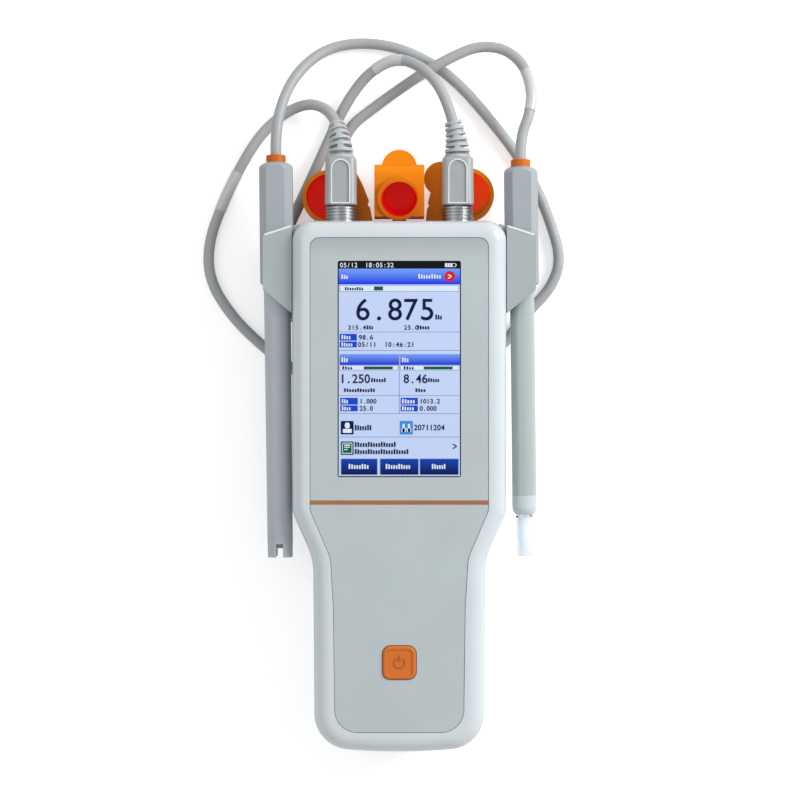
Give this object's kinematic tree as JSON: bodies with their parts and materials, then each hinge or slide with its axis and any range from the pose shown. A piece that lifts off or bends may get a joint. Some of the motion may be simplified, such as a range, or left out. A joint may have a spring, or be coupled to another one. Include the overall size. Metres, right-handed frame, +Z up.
{
  "type": "water quality analyzer",
  "caption": "Handheld water quality meter lying on its back, with a screen and a power key, probes clipped in side holders, and cords from them to plugs on its head",
  "frame": {"origin": "on the table under the middle of the instrument, its probes and its dust caps", "axes": "+Z up out of the screen, +Y towards the plugs, +X to the right as the screen is read"},
  "size_m": [0.1658, 0.3223, 0.0388],
  "materials": {
    "frame_shell": "glossy moulded shell",
    "rear_shell": "satin moulded shell",
    "panel": "fine matt plate",
    "copper_trim": "copper coloured strip",
    "screen": "glass over a lit display",
    "board": "green laminate",
    "steel": "turned and plated",
    "orange_key": "moulded key",
    "orange_rubber": "moulded silicone",
    "dark_rubber": "moulded rubber",
    "dark_plastic": "moulded plastic",
    "cell_jacket": "printed sleeve left plain",
    "plug_grip": "soft moulded grip",
    "handle": "smooth moulded handle",
    "clear_tube": "translucent tube",
    "cell_glass": "thin glass tube",
    "cord_jacket": "soft cable jacket"
  },
  "bodies": {
    "root": {"accent_strip": "copper_trim", "battery_cells": "cell_jacket", "battery_contacts": "steel", "battery_cover": "rear_shell", "battery_seal": "dark_rubber", "board_screws": "steel", "boot_left": "plug_grip", "boot_right": "plug_grip", "case_screws": "steel", "case_seal": "dark_rubber", "cord_left": "cord_jacket", "cord_right": "cord_jacket", "cover_screws": "steel", "display_module": "screen", "front_frame": "frame_shell", "holder_left": "rear_shell", "holder_right": "rear_shell", "holder_screws": "steel", "key_spring": "dark_rubber", "key_switch": "dark_plastic", "lower_panel": "panel", "main_board": "board", "plug_left": "plug_grip", "plug_right": "plug_grip", "rear_case": "rear_shell", "rubber_feet": "dark_rubber", "screen_lens": "screen", "socket_left": "steel", "socket_nuts": "steel", "socket_right": "steel", "strap_anchor_left": "orange_rubber", "strap_anchor_right": "orange_rubber", "temperature_port": "dark_plastic", "upper_panel": "panel"},
    "power_key": {"power_key": "orange_key"},
    "probe_left": {"probe_handle_left": "handle", "probe_collar_left": "orange_rubber", "probe_shaft_left": "handle", "probe_guard_left": "dark_plastic", "membrane_left": "dark_plastic"},
    "probe_right": {"probe_handle_right": "handle", "probe_collar_right": "orange_rubber", "probe_shaft_right": "clear_tube", "tip_cap_right": "handle", "cell_tube_right": "cell_glass", "electrodes_right": "dark_plastic"},
    "cap_left": {"dust_cap_left": "orange_rubber"},
    "cap_right": {"dust_cap_right": "orange_rubber"},
    "cap_centre": {"dust_cap_centre": "orange_rubber"}
  },
  "joints": [
    {"name": "power_key_press", "type": "slide", "parent": "root", "child": "power_key", "axis": [0, 0, -1], "range_m": [0, 0.0008], "stiffness_N_per_m": 1500, "deforming": ["key_spring"]},
    {"name": "probe_left_slide", "type": "slide", "parent": "root", "child": "probe_left", "axis": [-0.0113, 0.9999, 0], "range_m": [0, 0.03], "deforming": ["cord_left"]},
    {"name": "probe_right_slide", "type": "slide", "parent": "root", "child": "probe_right", "axis": [-0.0113, 0.9999, 0], "range_m": [0, 0.03], "deforming": ["cord_right"]},
    {"name": "cap_left_bend", "type": "hinge", "parent": "root", "child": "cap_left", "pos_m": [-0.01525, 0.10085, 0.0126], "axis": [1, 0, 0], "range_deg": [-5, 0], "stiffness_Nm_per_rad": 0.02},
    {"name": "cap_right_bend", "type": "hinge", "parent": "root", "child": "cap_right", "pos_m": [0.01525, 0.10085, 0.0126], "axis": [1, 0, 0], "range_deg": [-5, 0], "stiffness_Nm_per_rad": 0.02},
    {"name": "cap_centre_pull", "type": "slide", "parent": "root", "child": "cap_centre", "axis": [0, 1, 0], "range_m": [0, 0.015]}
  ]
}
